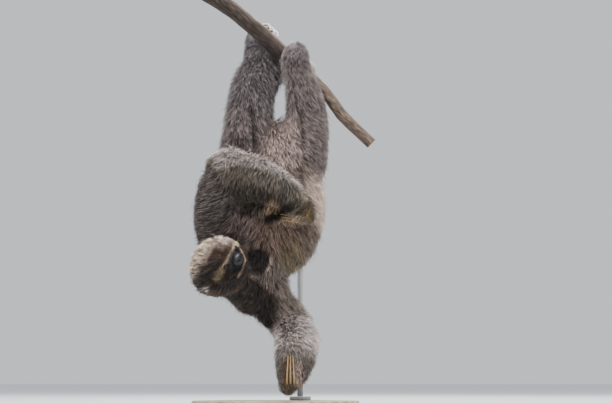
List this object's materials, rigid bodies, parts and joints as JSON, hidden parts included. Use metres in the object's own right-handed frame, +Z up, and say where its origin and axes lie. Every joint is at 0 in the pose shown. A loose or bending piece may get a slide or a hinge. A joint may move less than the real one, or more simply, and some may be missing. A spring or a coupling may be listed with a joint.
{
  "type": "three-toed sloth",
  "caption": "Life-size still model of a three-toed sloth hanging head down by its hind feet from a cut branch, on a plain round display stand with one bent rod.",
  "frame": {"origin": "centre of the round base's underside, on the surface that it stands on", "axes": "+Z up; -Y towards the viewer of the belly; +X to that viewer's right, down the branch"},
  "size_m": [0.3712, 0.34, 0.8547],
  "materials": {
    "coat": "matt, coarse grey-brown hair, streaked, paler at the tips",
    "face_coat": "matt, short hair, cream brow band, dark stripe through each eye, brown forehead",
    "eye": "wet gloss, very dark brown",
    "nose": "moist blue-black skin",
    "claw": "smooth horn, cream, darker at the root",
    "bark": "smooth brown bark, pale sawn ends",
    "stand_steel": "satin grey paint",
    "stand_wood": "pale satin lacquer"
  },
  "bodies": {
    "root": {"eye_left": "eye", "eye_right": "eye", "nose": "nose", "perch": "bark", "head": "face_coat", "ear_left": "coat", "ear_right": "coat", "trunk": "coat", "neck": "coat", "tail": "coat", "upper_arm_left": "coat", "forearm_left": "coat", "hand_left": "coat", "upper_arm_right": "coat", "forearm_right": "coat", "hand_right": "coat", "thigh_left": "coat", "shank_left": "coat", "foot_left": "coat", "thigh_right": "coat", "shank_right": "coat", "foot_right": "coat", "fore_claw_left_1": "claw", "hind_claw_left_1": "claw", "fore_claw_right_1": "claw", "hind_claw_right_1": "claw", "fore_claw_left_2": "claw", "hind_claw_left_2": "claw", "fore_claw_right_2": "claw", "hind_claw_right_2": "claw", "fore_claw_left_3": "claw", "hind_claw_left_3": "claw", "fore_claw_right_3": "claw", "hind_claw_right_3": "claw", "stand_base": "stand_wood", "stand_flange": "stand_steel", "stand_rod": "stand_steel", "stand_arm": "stand_steel"}
  },
  "joints": []
}
